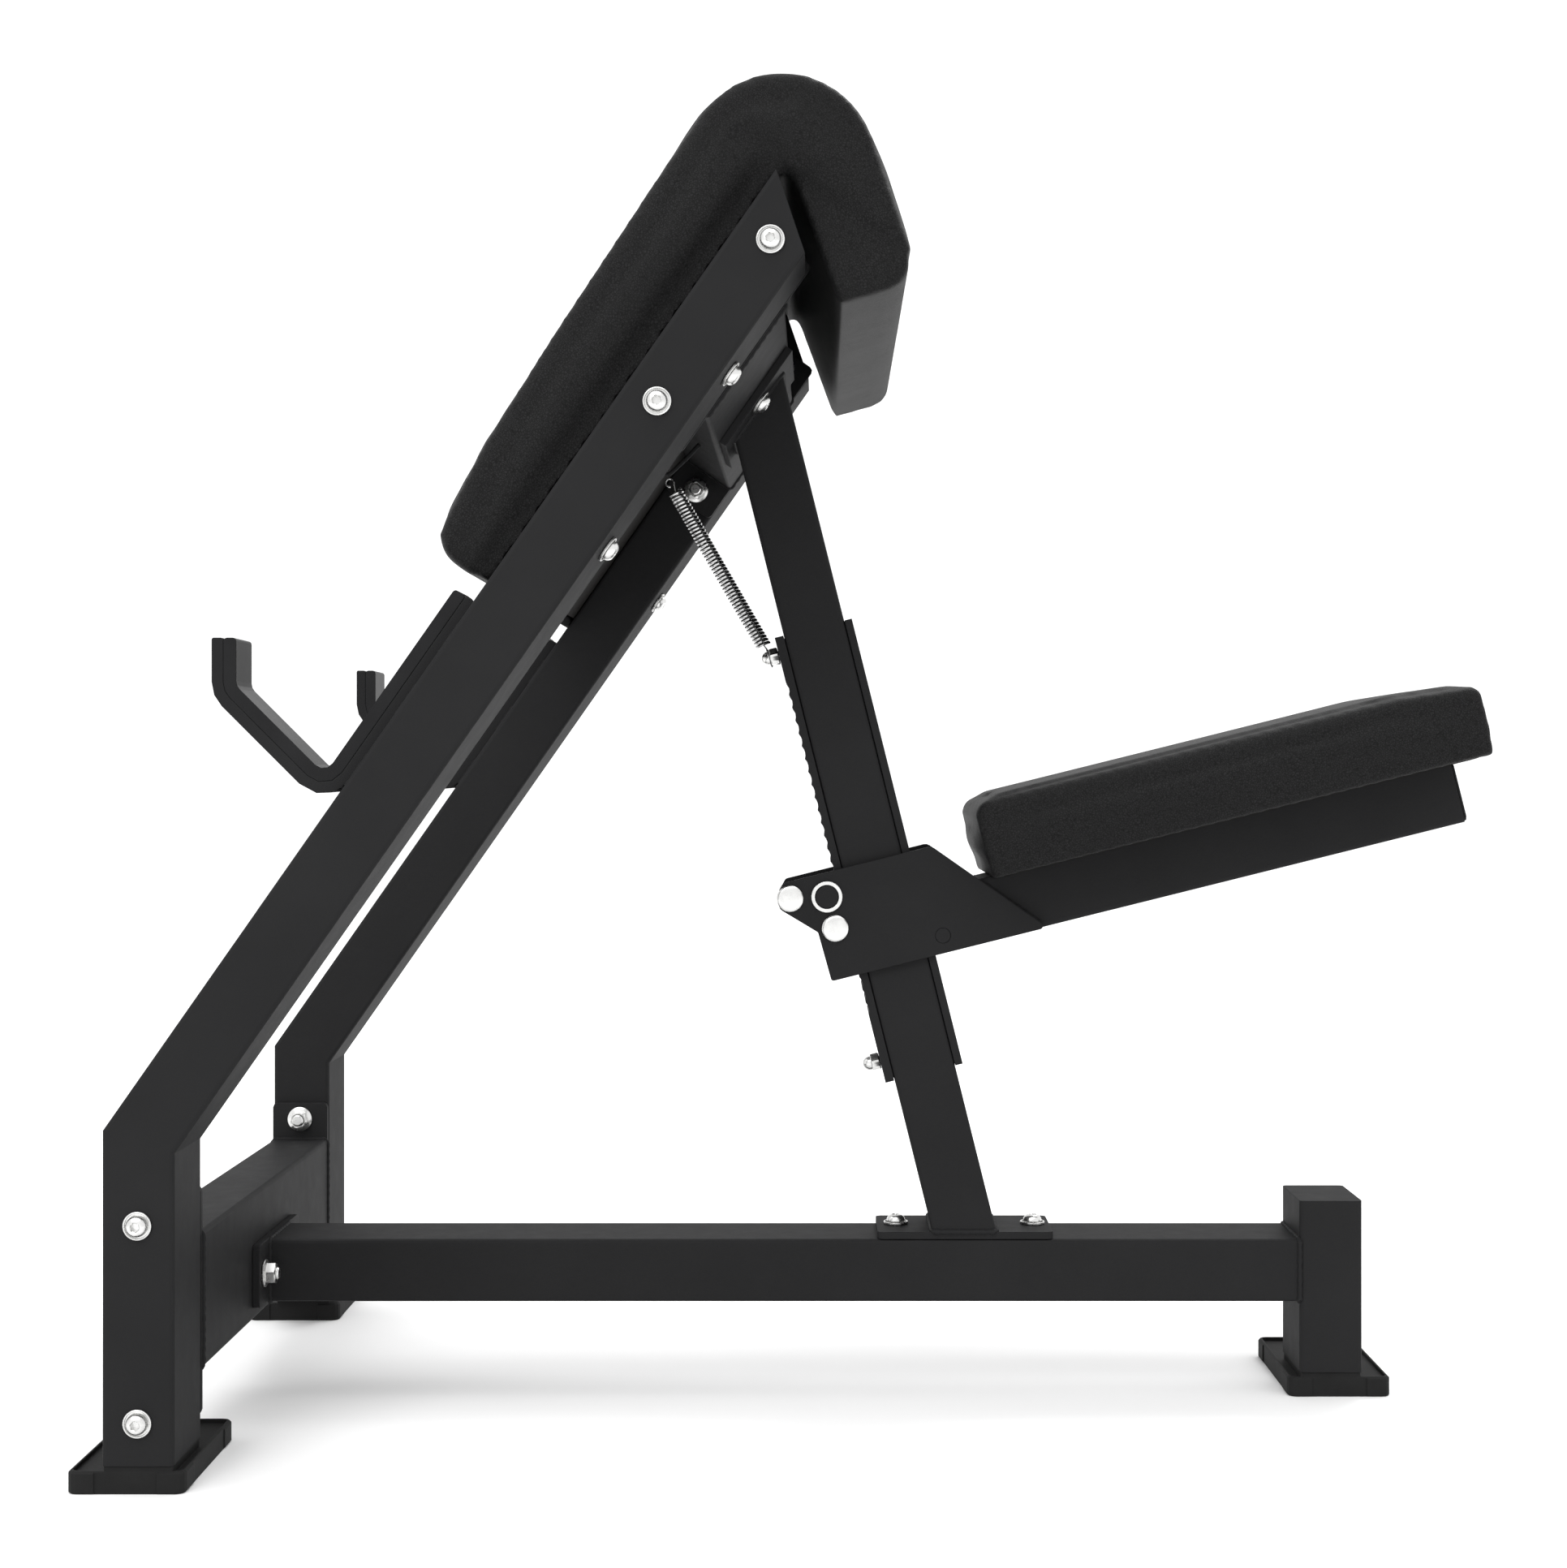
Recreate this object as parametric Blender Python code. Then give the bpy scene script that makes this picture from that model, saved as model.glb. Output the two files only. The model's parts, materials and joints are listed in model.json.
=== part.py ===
"""Preacher bench with a ratchet-height seat.

Two bent side frames are tied by two cross-beams.  A leaning mast carries a
toothed rack; the seat carriage hooks onto it with a lock bar and bears on the
mast's back through a roller.  Lengths are millimetres, turned into metres when
a mesh is made.  X runs to the seat end, Y across the bench, Z up.
"""
import math

import bmesh
import bpy
from mathutils import Vector

for leftover in list(bpy.data.objects):
    bpy.data.objects.remove(leftover, do_unlink=True)

MM = 0.001
GAP = 0.3

# rectangular tube
TUBE_DEEP = 50.0
TUBE_WIDE = 75.0
TUBE_WALL = 3.0
TUBE_CORNER = 3.0

# side frames
FRAME_OUT = 302.0
FRAME_IN = FRAME_OUT - TUBE_WIDE
FRAME_MID = FRAME_OUT - TUBE_WIDE / 2
LEG_X = -498.6
LEG_BOTTOM = 19.6
BEND = (-498.6, 252.0)
INCLINE = math.radians(55.0)
INCLINE_END = 815.0
INCLINE_CUT = -0.7278

# cross-beams between the side frames
BEAM_DEEP = 50.0
BEAM_TALL = 100.0
FLANGE_TALL = 166.0
FLANGE_THICK = 5.0
FLANGE_BOLT = 68.5
LOWER_BEAM = (-473.6, 118.0)
UPPER_BEAM = (-74.2, 814.0)

# main beam and rear post
MAIN_FRONT = -442.6
MAIN_BACK = 384.2
MAIN_LOW = 76.3
MAIN_TOP = 126.3
MAIN_BOLT_Y = 54.6
MAIN_BOLT_Z = 103.0
POST_FRONT = 384.5
POST_TOP = 157.3

# feet
FOOT_LONG = 141.0
FOOT_WIDE = 82.5
FOOT_TALL = 16.0
FOOT_RIM = 3.2
FOOT_DISH = 13.0
FOOT_REACH = 376.0
FRONT_FOOT_X = -482.35
REAR_FOOT_X = 416.45
REAR_FOOT_Y = 33.0

# mast, measured square to it (s) and along it (m)
LEAN = math.radians(14.0)
MAST_FRONT = 118.9
MAST_BACK = 168.9
BASE_PLATE = (45.6, 186.6)
BASE_TOP = 132.3
BASE_BOLTS = (61.3, 172.9)
TOP_DROP = 31.0
TOP_HALF = 46.0
TOP_BOLT_Y = 54.6

# rack and rear strip
STRIP_LOW = 232.0
STRIP_HIGH = 600.0
STRIP_HALF = 37.5
STRIP_BOLTS = (246.0, 587.0)
STUD = 4.0
STUD_HOLE = 4.4
PITCH = 10.6
SCALLOP = 10.9
NOTCHES_DOWN = 9
NOTCHES_UP = 16

# seat carriage
LOCK = (101.9, 388.5)
LOCK_RADIUS = 10.6
PIN_UPPER = (74.0, 394.1)
PIN_LOWER = (103.3, 362.3)
PIN_RADIUS = 6.0
ROLLER = (184.5, 336.0)
ROLLER_RADIUS = 9.0
PLATE_IN = 37.8
PLATE_THICK = 6.0
SEAT_TUBE = (222.0, 613.5, 322.5, 372.5)
SEAT_PAD = (231.5, 634.1, 372.8, 432.5)
SEAT_HALF = 100.0
BOARD = 12.0

# arm pad
ARM_HALF = 275.3
ARM_BOARD_HALF = 272.0
ARM_LOW = 465.0
ROLL = (-27.7, 927.5)
ROLL_RADIUS = 65.1
DROP = (0.325, -0.946)
DROP_LONG = 107.0
PAD_BOLTS = (532.7, 684.3)

# bar hooks
HOOK_WIDE = 46.0
STRAP = 8.0
LINER = 9.0
HOOK_PATH = [(-241.5, 619.0), (-344.2, 472.4), (-425.7, 553.9), (-425.7, 594.8)]

# hardware
BOLT = 5.0
HOLE = 5.4
WASHER = 10.0
HEAD = 8.4
HEAD_TALL = 7.8
NUT_FLANGE = 11.0
NUT_FLAT = 7.5
NUT_TALL = 10.0

SPRING_TOP = (-125.6, 741.6)
SPRING_END = (-41.3, 595.4)
SPRING_RADIUS = 6.5

# the floor point below the middle of the whole bench
CENTRE_X = 0.75
MIDDLE_Y = -(FOOT_REACH - FRAME_OUT - HEAD_TALL) / 2

T = (math.cos(INCLINE), math.sin(INCLINE))
N = (-math.sin(INCLINE), math.cos(INCLINE))
S = (math.cos(LEAN), math.sin(LEAN))
M = (-math.sin(LEAN), math.cos(LEAN))


def at(x, y, z):
    """Model millimetres to a point in metres."""
    return Vector(((x - CENTRE_X) * MM, (y + MIDDLE_Y) * MM, z * MM))


def on_incline(along, up):
    """X and Z of a point along the incline and square to it."""
    return (BEND[0] + along * T[0] + up * N[0], BEND[1] + along * T[1] + up * N[1])


def on_mast(s, m):
    """X and Z of a point square to the mast and along it."""
    return (s * S[0] + m * M[0], s * S[1] + m * M[1])


def section(a0, a1, b0, b1, radius=0.0, steps=2):
    """Corner-rounded rectangle as (a, b) pairs."""
    if radius <= 0:
        return [(a0, b0), (a1, b0), (a1, b1), (a0, b1)]
    points = []
    corners = [(a1 - radius, b1 - radius, 0), (a0 + radius, b1 - radius, 90),
               (a0 + radius, b0 + radius, 180), (a1 - radius, b0 + radius, 270)]
    for ca, cb, start in corners:
        for k in range(steps + 1):
            angle = math.radians(start + 90.0 * k / steps)
            points.append((ca + radius * math.cos(angle), cb + radius * math.sin(angle)))
    return points


def fillet(corners, fine=22.0):
    """Round the corners (x, z, radius) of a closed outline."""
    points = []
    for k, (x, z, radius) in enumerate(corners):
        if radius <= 0:
            points.append((x, z))
            continue
        here = Vector((x, z))
        before = (Vector(corners[k - 1][:2]) - here).normalized()
        after = (Vector(corners[(k + 1) % len(corners)][:2]) - here).normalized()
        half = before.angle(after) / 2
        centre = here + (before + after).normalized() * radius / math.sin(half)
        start = here + before * radius / math.tan(half) - centre
        end = here + after * radius / math.tan(half) - centre
        first = math.atan2(start.y, start.x)
        turn = math.remainder(math.atan2(end.y, end.x) - first, math.tau)
        steps = max(2, round(math.degrees(abs(turn)) / fine))
        for j in range(steps + 1):
            angle = first + turn * j / steps
            points.append((centre.x + radius * math.cos(angle),
                           centre.y + radius * math.sin(angle)))
    return points


def beside(path, distance):
    """A path shifted to its right by a distance, with mitred corners."""
    shifted = []
    for k, point in enumerate(path):
        here = Vector(point)
        normals = []
        if k > 0:
            run = (here - Vector(path[k - 1])).normalized()
            normals.append(Vector((run.y, -run.x)))
        if k < len(path) - 1:
            run = (Vector(path[k + 1]) - here).normalized()
            normals.append(Vector((run.y, -run.x)))
        mean = sum(normals, Vector((0.0, 0.0))).normalized()
        shifted.append(here + mean * distance / mean.dot(normals[0]))
    return [(p.x, p.y) for p in shifted]


def inset(outline, distance):
    """A closed outline moved inward, whichever way round it runs."""
    area = 0.0
    for k, (x, z) in enumerate(outline):
        area += outline[k - 1][0] * z - x * outline[k - 1][1]
    side = 1.0 if area > 0 else -1.0
    moved = []
    for k, point in enumerate(outline):
        here = Vector(point)
        a = (here - Vector(outline[k - 1])).normalized()
        b = (Vector(outline[(k + 1) % len(outline)]) - here).normalized()
        normal = Vector((-a.y - b.y, a.x + b.x)).normalized() * side
        stretch = max(0.5, normal.dot(Vector((-a.y, a.x)) * side))
        moved.append(here + normal * distance / stretch)
    return [(p.x, p.y) for p in moved]


def loft(rings):
    """Closed shell through rings of equal length."""
    count = len(rings[0])
    points = [p for ring in rings for p in ring]
    faces = [list(range(count)), [len(points) - count + k for k in range(count)]]
    for r in range(len(rings) - 1):
        for k in range(count):
            nxt = (k + 1) % count
            faces.append([r * count + k, r * count + nxt,
                          (r + 1) * count + nxt, (r + 1) * count + k])
    return points, faces


def slab(outline, y0, y1, place=None):
    """Outline in the side plane, stretched across the bench."""
    place = place or (lambda a, b: (a, b))
    flat = [place(a, b) for a, b in outline]
    return loft([[at(x, y, z) for x, z in flat] for y in (y0, y1)])


def cushion(outline, half, radius, place=None):
    """Outline stretched across the bench with rounded side edges."""
    place = place or (lambda a, b: (a, b))
    rings = []
    for angle in (0, 30, 60, 90):
        back = radius * (1 - math.sin(math.radians(angle)))
        rings.append((-half + radius * (1 - math.cos(math.radians(angle))), back))
    rings += [(-y, back) for y, back in reversed(rings)]
    shell = []
    for y, back in rings:
        flat = [place(a, b) for a, b in inset(outline, back)]
        shell.append([at(x, y, z) for x, z in flat])
    return loft(shell)


def turned(profile, origin, axis, sides=14, ring=False, flats=()):
    """Body turned about an axis; rows named in flats are cut to a hexagon."""
    axis = Vector(axis).normalized()
    across = axis.orthogonal().normalized()
    other = axis.cross(across)
    points = []
    rows = []
    for row, (radius, height) in enumerate(profile):
        if radius == 0:
            rows.append([len(points)])
            points.append(origin + axis * height * MM)
            continue
        rows.append(list(range(len(points), len(points) + sides)))
        for k in range(sides):
            angle = math.tau * k / sides
            reach = radius
            if row in flats:
                reach = radius / math.cos(math.remainder(angle - math.pi / 6, math.pi / 3))
            points.append(origin + (across * math.cos(angle) + other * math.sin(angle))
                          * reach * MM + axis * height * MM)
    pairs = list(zip(rows, rows[1:]))
    if ring:
        pairs.append((rows[-1], rows[0]))
    faces = []
    for low, high in pairs:
        for k in range(sides):
            nxt = (k + 1) % sides
            face = [low[k % len(low)], low[nxt % len(low)],
                    high[nxt % len(high)], high[k % len(high)]]
            faces.append(list(dict.fromkeys(face)))
    return points, faces


def rod(start, end, radius, sides=14):
    """Plain round bar between two model points."""
    a = at(*start)
    b = at(*end)
    length = (b - a).length / MM
    return turned([(0, 0), (radius, 0), (radius, length), (0, length)], a, b - a, sides)


def mesh_of(shells):
    """One mesh from closed shells, every shell facing out."""
    work = bmesh.new()
    for points, faces in shells:
        made = [work.verts.new(p) for p in points]
        for face in faces:
            work.faces.new([made[k] for k in face])
    bmesh.ops.recalc_face_normals(work, faces=work.faces[:])
    mesh = bpy.data.meshes.new("mesh")
    work.to_mesh(mesh)
    work.free()
    return mesh


def combine(target, shells, operation):
    """Apply one exact Boolean with a set of shells."""
    tool = bpy.data.objects.new("tool", mesh_of(shells))
    bpy.context.collection.objects.link(tool)
    change = target.modifiers.new("change", "BOOLEAN")
    change.operation = operation
    change.solver = "EXACT"
    change.object = tool
    graph = bpy.context.evaluated_depsgraph_get()
    result = bpy.data.meshes.new_from_object(target.evaluated_get(graph))
    target.modifiers.clear()
    target.data = result
    bpy.data.objects.remove(tool, do_unlink=True)


def finish_mesh(piece, sharp, pivot):
    """Shade smooth below the sharp angle and set the origin."""
    work = bmesh.new()
    work.from_mesh(piece.data)
    bmesh.ops.remove_doubles(work, verts=work.verts[:], dist=0.000002)
    bmesh.ops.dissolve_degenerate(work, edges=work.edges[:], dist=0.000002)
    bmesh.ops.recalc_face_normals(work, faces=work.faces[:])
    for face in work.faces:
        face.smooth = True
    for edge in work.edges:
        edge.smooth = edge.calc_face_angle(3.0) < math.radians(sharp)
    for vertex in work.verts:
        vertex.co -= pivot
    work.to_mesh(piece.data)
    work.free()
    piece.location = pivot


def body(name, shells, paint, join=(), cut=(), sharp=38.0, pivot=None):
    """One named sub-part: first shell, joined shells, then cuts."""
    piece = bpy.data.objects.new(name, mesh_of(shells))
    bpy.context.collection.objects.link(piece)
    if join:
        for extra in join:
            combine(piece, [extra], "UNION")
    if cut:
        for extra in cut:
            combine(piece, extra, "DIFFERENCE")
    finish_mesh(piece, sharp, pivot or Vector((0.0, 0.0, 0.0)))
    piece.data.materials.clear()
    piece.data.materials.append(finish(name, *paint))
    return piece


def finish(name, colour, metallic, roughness):
    """Principled material of one sub-part."""
    material = bpy.data.materials.new(name)
    material.use_nodes = True
    shader = material.node_tree.nodes["Principled BSDF"]
    shader.inputs["Base Color"].default_value = (*colour, 1.0)
    shader.inputs["Metallic"].default_value = metallic
    shader.inputs["Roughness"].default_value = roughness
    material.diffuse_color = (*colour, 1.0)
    return material


BLACK = ((0.026, 0.026, 0.028), 0.0, 0.55)
ZINC = ((0.66, 0.66, 0.64), 1.0, 0.32)
CHROME = ((0.78, 0.78, 0.78), 1.0, 0.12)
RUBBER = ((0.02, 0.02, 0.02), 0.0, 0.75)
PLASTIC = ((0.022, 0.022, 0.024), 0.0, 0.5)
VINYL = ((0.024, 0.024, 0.026), 0.0, 0.48)
WOOD = ((0.05, 0.042, 0.035), 0.0, 0.75)


def side_frame(name, side):
    """Bent tube: upright leg, mitred bend, incline with a slanted cut."""
    middle = side * FRAME_MID
    mitre = -N[0] / (1 + T[1])
    slope = T[0] / (1 + T[1])

    def rings(outline, extra):
        low = [at(LEG_X + a, middle + b, LEG_BOTTOM - extra) for a, b in outline]
        bend = [at(BEND[0] + a, middle + b, BEND[1] - slope * a) for a, b in outline]
        high = []
        for a, b in outline:
            x, z = on_incline(INCLINE_END + INCLINE_CUT * a + extra, -a)
            high.append(at(x, middle + b, z))
        return [low, bend, high]

    half = TUBE_WIDE / 2
    outer = section(0, TUBE_DEEP, -half, half, TUBE_CORNER)
    inner = section(TUBE_WALL, TUBE_DEEP - TUBE_WALL, TUBE_WALL - half, half - TUBE_WALL)
    holes = []
    for x, z in frame_bolts():
        holes.append(rod((x, middle - 45, z), (x, middle + 45, z), HOLE))
    for along in PAD_BOLTS:
        x0, z0 = on_incline(along, -60)
        x1, z1 = on_incline(along, 10)
        holes.append(rod((x0, middle, z0), (x1, middle, z1), HOLE))
    body(name, [loft(rings(outer, 0))], BLACK, cut=[[loft(rings(inner, 1))], holes])


def frame_bolts():
    """Side-plane points of the four bolts in each side frame."""
    spots = [(LOWER_BEAM[0], LOWER_BEAM[1] + k * FLANGE_BOLT) for k in (-1, 1)]
    for k in (-1, 1):
        spots.append((UPPER_BEAM[0] + k * FLANGE_BOLT * T[0],
                      UPPER_BEAM[1] + k * FLANGE_BOLT * T[1]))
    return spots


def cross_beam(name, centre, along, up, bolt_along, tapped):
    """Tube across the bench with a flange plate welded on each end."""
    def place(a, b):
        return (centre[0] + a * along[0] + b * up[0], centre[1] + a * along[1] + b * up[1])

    reach = FRAME_IN - GAP
    deep = BEAM_DEEP / 2
    tall = BEAM_TALL / 2
    tube = slab(section(-tall, tall, -deep, deep, TUBE_CORNER), -reach, reach, place)
    flanges = []
    holes = []
    for side in (-1, 1):
        outline = section(-FLANGE_TALL / 2, FLANGE_TALL / 2, -deep + 0.4, deep - 0.4, 4.0)
        ends = sorted((side * reach, side * (reach - FLANGE_THICK)))
        flanges.append(slab(outline, ends[0], ends[1], place))
        for k in (-1, 1):
            x, z = place(k * FLANGE_BOLT, 0)
            holes.append(rod((x, side * (reach - 12), z), (x, side * (reach + 5), z), HOLE))
    for side in (-1, 1):
        low = place(bolt_along, -deep - 5)
        high = place(bolt_along, deep + 5 if not tapped else 0)
        holes.append(rod((low[0], side * MAIN_BOLT_Y, low[1]),
                         (high[0], side * MAIN_BOLT_Y, high[1]), HOLE))
    wall = TUBE_WALL
    void = slab(section(wall - tall, tall - wall, wall - deep, deep - wall),
                -reach - 1, reach + 1, place)
    body(name, [tube], BLACK, join=flanges, cut=[[void], holes])


def main_beam():
    """Floor beam with its bolting flange at the front."""
    half = TUBE_WIDE / 2

    def ring(x, outline):
        return [at(x, a, b) for a, b in outline]

    outer = section(-half, half, MAIN_LOW, MAIN_TOP, TUBE_CORNER)
    inner = section(TUBE_WALL - half, half - TUBE_WALL, MAIN_LOW + TUBE_WALL,
                    MAIN_TOP - TUBE_WALL)
    plate = section(-70.7, 70.7, MAIN_LOW + 1.5, MAIN_TOP + 1.5, 4.0)
    front = LEG_X + TUBE_DEEP + GAP
    tube = loft([ring(front + 0.5, outer), ring(MAIN_BACK, outer)])
    flange = loft([ring(front, plate), ring(MAIN_FRONT, plate)])
    void = loft([ring(front - 1, inner), ring(MAIN_BACK + 1, inner)])
    holes = [rod((front - 5, y, MAIN_BOLT_Z), (MAIN_FRONT + 5, y, MAIN_BOLT_Z), HOLE)
             for y in (-MAIN_BOLT_Y, MAIN_BOLT_Y)]
    holes += [rod((x, 0, MAIN_TOP + 5), (x, 0, MAIN_TOP - 8), HOLE) for x in BASE_BOLTS]
    body("main_beam", [tube], BLACK, join=[flange], cut=[[void], holes])


def rear_post():
    """Short upright at the seat end, closed on top."""
    half = TUBE_WIDE / 2
    wall = TUBE_WALL
    outer = section(POST_FRONT, POST_FRONT + TUBE_DEEP, -half, half, TUBE_CORNER)
    inner = section(POST_FRONT + wall, POST_FRONT + TUBE_DEEP - wall, wall - half, half - wall)
    shape = loft([[at(a, b, z) for a, b in outer] for z in (LEG_BOTTOM, POST_TOP)])
    void = loft([[at(a, b, z) for a, b in inner] for z in (LEG_BOTTOM - 1, POST_TOP - wall)])
    body("rear_post", [shape], BLACK, cut=[[void]])


def foot(name, x, y, plug_x, plug_y):
    """Rubber shoe with a plug that fills the tube end."""
    wide = FOOT_WIDE / 2
    long = FOOT_LONG / 2
    rings = []
    for z, back in ((0, 1.2), (1.2, 0), (FOOT_TALL - 1.8, 0), (FOOT_TALL, 1.8)):
        outline = section(x - wide + back, x + wide - back, y - long + back,
                          y + long - back, 7.0 - back, 3)
        rings.append([at(a, b, z) for a, b in outline])
    dish_outline = section(x - wide + FOOT_RIM, x + wide - FOOT_RIM, y - long + FOOT_RIM,
                           y + long - FOOT_RIM, 4.0)
    dish = loft([[at(a, b, z) for a, b in dish_outline] for z in (FOOT_DISH, FOOT_TALL + 2)])
    stand_outline = section(plug_x[0] - 2.0, plug_x[1] + 2.0, plug_y[0] - 2.0, plug_y[1] + 2.0)
    stand = loft([[at(a, b, z) for a, b in stand_outline]
                  for z in (FOOT_DISH - 2, LEG_BOTTOM - GAP)])
    plug_outline = section(plug_x[0], plug_x[1], plug_y[0], plug_y[1])
    plug = loft([[at(a, b, z) for a, b in plug_outline] for z in (FOOT_DISH - 1, 38.0)])
    panels = []
    for side in (-1, 1):
        for half_x, half_y, edge_x, edge_y in ((22, 1, 0, side * long), (1, 44, side * wide, 0)):
            outline = section(x + edge_x - half_x, x + edge_x + half_x,
                              y + edge_y - half_y, y + edge_y + half_y)
            panels.append(loft([[at(a, b, z) for a, b in outline] for z in (-2, 20)]))
    body(name, [loft(rings)], RUBBER, cut=[[dish], panels])
    join_to(name, (stand, plug))


def join_to(name, shells):
    """Add shells to a finished body."""
    piece = bpy.data.objects[name]
    for shell in shells:
        combine(piece, [shell], "UNION")
    finish_mesh(piece, 38.0, Vector((0.0, 0.0, 0.0)))


def mast():
    """Leaning tube with the base plate and top plate welded to it."""
    half = TUBE_WIDE / 2

    def top_at(s, extra):
        """Point where a line along the mast meets the slanted top."""
        x, z = on_mast(s, 0)
        reach = (UPPER_BEAM[0] - x) * N[0] + (UPPER_BEAM[1] - z) * N[1] - TOP_DROP + extra
        m = reach / (M[0] * N[0] + M[1] * N[1])
        return on_mast(s, m)

    def rings(outline, low, extra):
        first = []
        last = []
        for s, y in outline:
            m = (low - s * S[1]) / M[1]
            x, z = on_mast(s, m)
            first.append(at(x, y, z))
            x, z = top_at(s, extra)
            last.append(at(x, y, z))
        return [first, last]

    wall = TUBE_WALL
    outer = section(MAST_FRONT, MAST_BACK, -half, half, TUBE_CORNER)
    inner = section(MAST_FRONT + wall, MAST_BACK - wall, wall - half, half - wall)
    tube = loft(rings(outer, BASE_TOP - 3, 3))
    void = loft(rings(inner, BASE_TOP - 12, 12))
    base_outline = section(BASE_PLATE[0], BASE_PLATE[1], -half + 0.4, half - 0.4, 4.0)
    base = loft([[at(a, b, z) for a, b in base_outline] for z in (MAIN_TOP + GAP, BASE_TOP)])

    def under_beam(a, b):
        return (UPPER_BEAM[0] + a * T[0] + b * N[0], UPPER_BEAM[1] + a * T[1] + b * N[1])

    plate_outline = [(-TOP_HALF, -BEAM_DEEP / 2 - GAP), (TOP_HALF, -BEAM_DEEP / 2 - GAP),
                     (TOP_HALF, -TOP_DROP), (-TOP_HALF, -TOP_DROP)]
    plate = slab(plate_outline, -70.7, 70.7, under_beam)
    holes = [rod((x, 0, MAIN_TOP - 5), (x, 0, BASE_TOP + 5), HOLE) for x in BASE_BOLTS]
    for y in (-TOP_BOLT_Y, TOP_BOLT_Y):
        x0, z0 = under_beam(0, -TOP_DROP - 5)
        x1, z1 = under_beam(0, -BEAM_DEEP / 2 + 2)
        holes.append(rod((x0, y, z0), (x1, y, z1), HOLE))
    for m in STRIP_BOLTS:
        x0, z0 = on_mast(MAST_FRONT - 5, m)
        x1, z1 = on_mast(MAST_BACK + 5, m)
        holes.append(rod((x0, 0, z0), (x1, 0, z1), STUD_HOLE))
    body("mast", [tube], BLACK, join=[base, plate], cut=[[void], holes])


def toothed_rack():
    """Scalloped strip: each notch is a cradle for the lock bar."""
    back = MAST_FRONT - GAP
    dip = math.sqrt(SCALLOP ** 2 - (PITCH / 2) ** 2)
    face = LOCK[0] + dip
    outline = [(back, STRIP_LOW), (back, STRIP_HIGH), (face, STRIP_HIGH)]
    for k in range(NOTCHES_UP, -NOTCHES_DOWN - 1, -1):
        centre = LOCK[1] + k * PITCH
        for step in (2, 1, 0, -1, -2):
            angle = math.asin(PITCH / 2 / SCALLOP) * step / 2
            point = (LOCK[0] + SCALLOP * math.cos(angle), centre + SCALLOP * math.sin(angle))
            if step == 2 and k < NOTCHES_UP:
                continue
            outline.append(point)
    outline.append((face, STRIP_LOW))
    holes = []
    for m in STRIP_BOLTS:
        x0, z0 = on_mast(face - 5, m)
        x1, z1 = on_mast(back + 5, m)
        holes.append(rod((x0, 0, z0), (x1, 0, z1), STUD_HOLE))
    shape = slab(outline, -STRIP_HALF, STRIP_HALF, on_mast)
    body("toothed_rack", [shape], BLACK, cut=[holes], sharp=30.0)


def rear_strip():
    """Flat bearing strip the roller runs on, with countersunk holes."""
    front = MAST_BACK + GAP
    back = front + 6.0
    outline = [(front, STRIP_LOW), (back, STRIP_LOW), (back, STRIP_HIGH), (front, STRIP_HIGH)]
    holes = []
    for m in STRIP_BOLTS:
        x, z = on_mast(back, m)
        profile = [(0, 2), (11.0, 2), (9.2, 0), (STUD_HOLE, -4.8), (STUD_HOLE, -9), (0, -9)]
        holes.append(turned(profile, at(x, 0, z), (S[0], 0, S[1])))
    body("rear_strip", [slab(outline, -STRIP_HALF, STRIP_HALF, on_mast)], BLACK, cut=[holes])


def rack_bolt(name, m):
    """Through-bolt: acorn head over the rack, countersunk end in the strip."""
    dip = math.sqrt(SCALLOP ** 2 - (PITCH / 2) ** 2)
    face = LOCK[0] + dip
    back = MAST_BACK + GAP + 6.0
    x, z = on_mast(face, m)
    length = back - face
    profile = [(0, -14.6), (3.0, -14.0), (5.2, -11.6), (6.0, -8.6), (6.1, -7.6), (6.5, -7.2),
               (6.5, -0.9), (6.2, -GAP), (STUD, -GAP), (STUD, length - 5.0),
               (8.4, length - 0.3), (0, length - 0.3)]
    shape = turned(profile, at(x, 0, z), (S[0], 0, S[1]), sides=12, flats=(5, 6))
    body(name, [shape], ZINC)


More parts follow.
